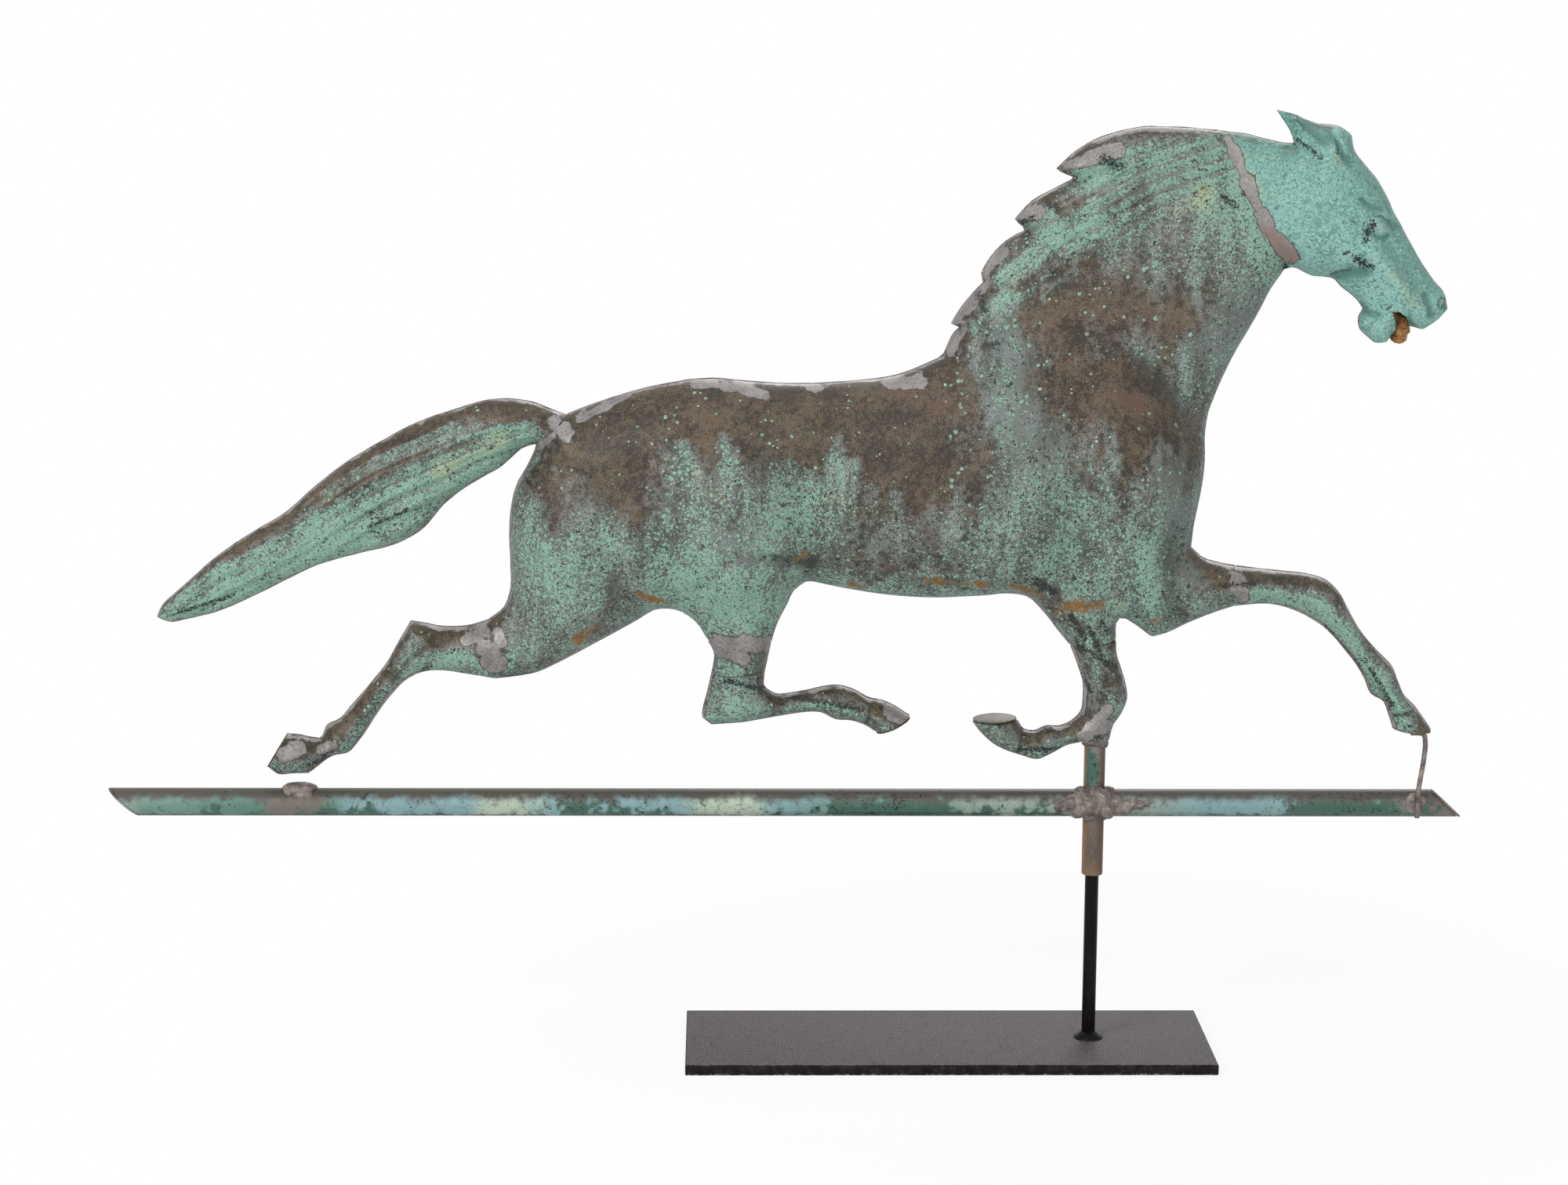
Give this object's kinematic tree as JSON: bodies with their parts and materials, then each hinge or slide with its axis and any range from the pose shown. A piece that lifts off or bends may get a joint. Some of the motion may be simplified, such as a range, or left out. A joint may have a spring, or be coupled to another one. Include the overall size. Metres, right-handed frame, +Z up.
{
  "type": "horse weathervane",
  "caption": "Hollow copper figure of a running horse over a horizontal rod, turning freely on a pointed steel spindle that stands on a flat rectangular plate.",
  "frame": {"origin": "on the turning axis, at the underside of the stand's plate", "axes": "+Z up along the spindle, +X the way the horse faces, +Y towards its left side"},
  "size_m": [0.78, 0.1016, 0.5443],
  "materials": {
    "plate_steel": "black hot-rolled steel with grey dust",
    "spindle_steel": "black gloss paint on steel",
    "sleeve_metal": "tarnished brass, brown with rust stains",
    "rod_metal": "weathered copper tube with bands of green, pale blue and brown",
    "solder": "dull lead solder, grey with a pink cast",
    "copper": "weathered sheet copper, brown with verdigris",
    "head_copper": "even pale verdigris on copper",
    "plug": "dry brown filler"
  },
  "bodies": {
    "stand": {"base_plate": "plate_steel", "stand_spindle": "spindle_steel", "spindle_weld": "spindle_steel"},
    "vane": {"pivot_sleeve": "sleeve_metal", "thrust_seat": "sleeve_metal", "directional_rod": "rod_metal", "rod_cap_rear": "rod_metal", "rod_cap_front": "rod_metal", "post_solder": "solder", "hoof_solder_stub": "solder", "prop_wire": "solder", "prop_solder": "solder", "body_right": "copper", "body_left": "copper", "head_right": "head_copper", "head_left": "head_copper", "tail_right": "copper", "tail_left": "copper", "hind_leg_stretched_right": "copper", "hind_leg_stretched_left": "copper", "hind_leg_folded_right": "copper", "hind_leg_folded_left": "copper", "foreleg_folded_right": "copper", "foreleg_folded_left": "copper", "foreleg_stretched_right": "copper", "foreleg_stretched_left": "copper", "mouth_plug": "plug", "sole_hind_stretched": "copper", "sole_hind_folded": "copper", "sole_fore_folded": "copper", "sole_fore_stretched": "copper"}
  },
  "joints": [
    {"name": "vane_turn", "type": "hinge", "parent": "stand", "child": "vane", "pos_m": [0, 0, 0.1051], "axis": [0, 0, 1], "continuous": true}
  ]
}
